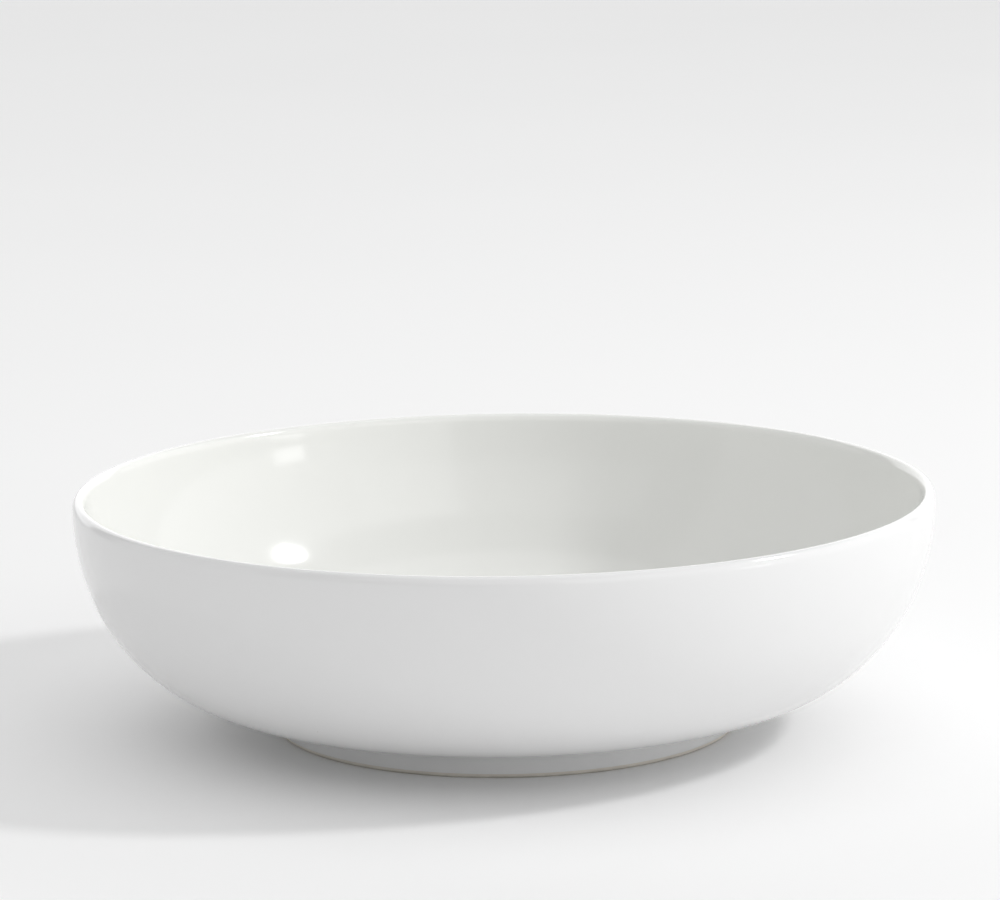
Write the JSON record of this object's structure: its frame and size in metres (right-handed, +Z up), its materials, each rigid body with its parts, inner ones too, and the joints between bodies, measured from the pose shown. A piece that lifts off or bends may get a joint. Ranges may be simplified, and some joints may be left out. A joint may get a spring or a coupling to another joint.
{
  "type": "serving bowl",
  "caption": "Round coupe serving bowl of white glazed porcelain, with a smooth curved wall, a thin rounded lip and a low dry-edged foot ring.",
  "frame": {"origin": "on the bowl's axis, in the plane of the foot's bearing face", "axes": "+Z up along the axis of revolution; +X and +Y are equal directions across the bowl"},
  "size_m": [0.305, 0.305, 0.085],
  "materials": {
    "biscuit_porcelain": "unglazed fired porcelain, dry and slightly warm, seen only on the edge the bowl stands on",
    "clear_glaze_on_white": "glossy clear glaze over white porcelain"
  },
  "bodies": {
    "root": {"bowl_wall": "biscuit_porcelain", "foot_ring": "biscuit_porcelain", "glaze_coat": "clear_glaze_on_white", "foot_well_glaze": "clear_glaze_on_white"}
  },
  "joints": []
}
